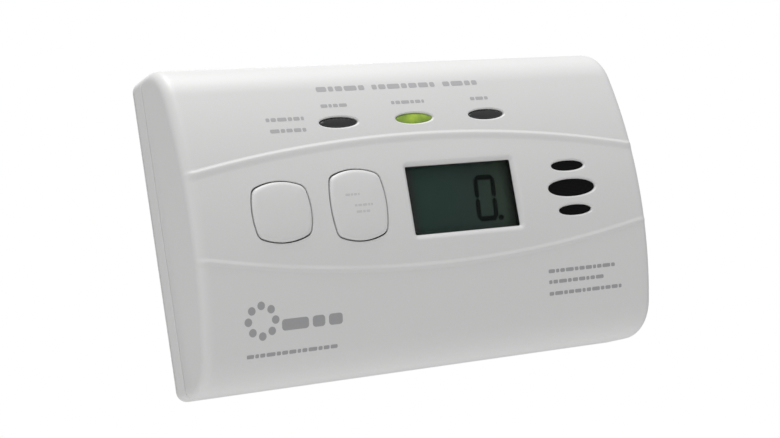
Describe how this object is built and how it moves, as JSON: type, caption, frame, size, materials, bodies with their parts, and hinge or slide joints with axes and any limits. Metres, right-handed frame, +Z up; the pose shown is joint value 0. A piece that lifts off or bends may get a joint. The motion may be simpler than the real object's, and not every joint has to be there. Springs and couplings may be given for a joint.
{
  "type": "carbon monoxide detector",
  "caption": "Wall-hung battery carbon monoxide alarm: crowned white case, display window, two push buttons, three indicator lights, sounder and gas vents.",
  "frame": {"origin": "centre of the flat back face, where the case lies on the wall, half way up and half way across", "axes": "+X to the right seen from the front, +Y out of the back into the wall (the face looks along -Y), +Z up"},
  "size_m": [0.1142, 0.025, 0.0698],
  "materials": {
    "case_white": "fine-textured satin, moulded",
    "button_white": "satin, smoother than the case",
    "window_clear": "clear, polished",
    "lcd_glass": "dark green-grey, semi-gloss",
    "lcd_reflector": "matt foil",
    "lens_smoked": "smoked, polished",
    "lens_green": "tinted green, polished, lit",
    "led_clear": "clear resin",
    "black_plastic": "matt black",
    "screen_fabric": "fine black mesh",
    "rubber_grey": "matt",
    "board_green": "solder mask, satin",
    "steel": "plain bright",
    "brass": "plain",
    "ceramic_white": "off-white",
    "battery_wrap": "shrink sleeve",
    "capacitor_sleeve": "shrink sleeve",
    "ferrite": "matt",
    "carbon": "matt felt",
    "label_paper": "printed film, satin"
  },
  "bodies": {
    "case": {"front_cover": "case_white", "rear_cover": "case_white", "rear_label": "label_paper", "vent_screen": "screen_fabric", "peak_switch_body": "black_plastic", "test_switch_body": "black_plastic", "display_lens": "window_clear", "lcd_front_glass": "lcd_glass", "lcd_rear_glass": "lcd_glass", "lcd_reflector": "lcd_reflector", "lcd_frame": "black_plastic", "zebra_strip_upper": "rubber_grey", "zebra_strip_lower": "rubber_grey", "alarm_light_pipe": "lens_smoked", "operate_light_pipe": "lens_green", "fault_light_pipe": "lens_smoked", "alarm_led": "led_clear", "operate_led": "led_clear", "fault_led": "led_clear", "light_shield": "black_plastic", "horn_housing": "black_plastic", "horn_base": "black_plastic", "piezo_disc": "brass", "sensor_can": "steel", "sensor_cap": "steel", "sensor_filter": "carbon", "sensor_cell": "ceramic_white", "battery_cell": "battery_wrap", "battery_tab_positive": "steel", "battery_tab_negative": "steel", "circuit_board": "board_green", "board_screw_1": "steel", "board_screw_2": "steel", "board_screw_3": "steel", "board_screw_4": "steel", "microcontroller": "black_plastic", "crystal": "steel", "horn_inductor": "ferrite", "capacitor_1": "capacitor_sleeve", "capacitor_2": "capacitor_sleeve", "power_switch_body": "black_plastic"},
    "peak_key": {"peak_button": "button_white"},
    "peak_plunger": {"peak_switch_plunger": "rubber_grey"},
    "test_key": {"test_button": "button_white"},
    "test_plunger": {"test_switch_plunger": "rubber_grey"},
    "slider": {"activation_slider": "black_plastic"},
    "lever": {"power_switch_lever": "rubber_grey"}
  },
  "joints": [
    {"name": "peak_press", "type": "slide", "parent": "case", "child": "peak_key", "axis": [0, 1, 0], "range_m": [0, 0.0008], "stiffness_N_per_m": 2500},
    {"name": "test_press", "type": "slide", "parent": "case", "child": "test_key", "axis": [0, 1, 0], "range_m": [0, 0.0008], "stiffness_N_per_m": 2500},
    {"name": "peak_plunger_press", "type": "slide", "parent": "case", "child": "peak_plunger", "axis": [0, 1, 0], "range_m": [0, 0.0008]},
    {"name": "test_plunger_press", "type": "slide", "parent": "case", "child": "test_plunger", "axis": [0, 1, 0], "range_m": [0, 0.0008]},
    {"name": "activation_slide", "type": "slide", "parent": "case", "child": "slider", "axis": [1, 0, 0], "range_m": [-0.003, 0]},
    {"name": "power_lever_slide", "type": "slide", "parent": "case", "child": "lever", "axis": [1, 0, 0], "range_m": [-0.003, 0]}
  ],
  "couplings": [
    {"joint": "peak_plunger_press", "follows": "peak_press", "ratio": 1},
    {"joint": "test_plunger_press", "follows": "test_press", "ratio": 1},
    {"joint": "power_lever_slide", "follows": "activation_slide", "ratio": 1}
  ]
}
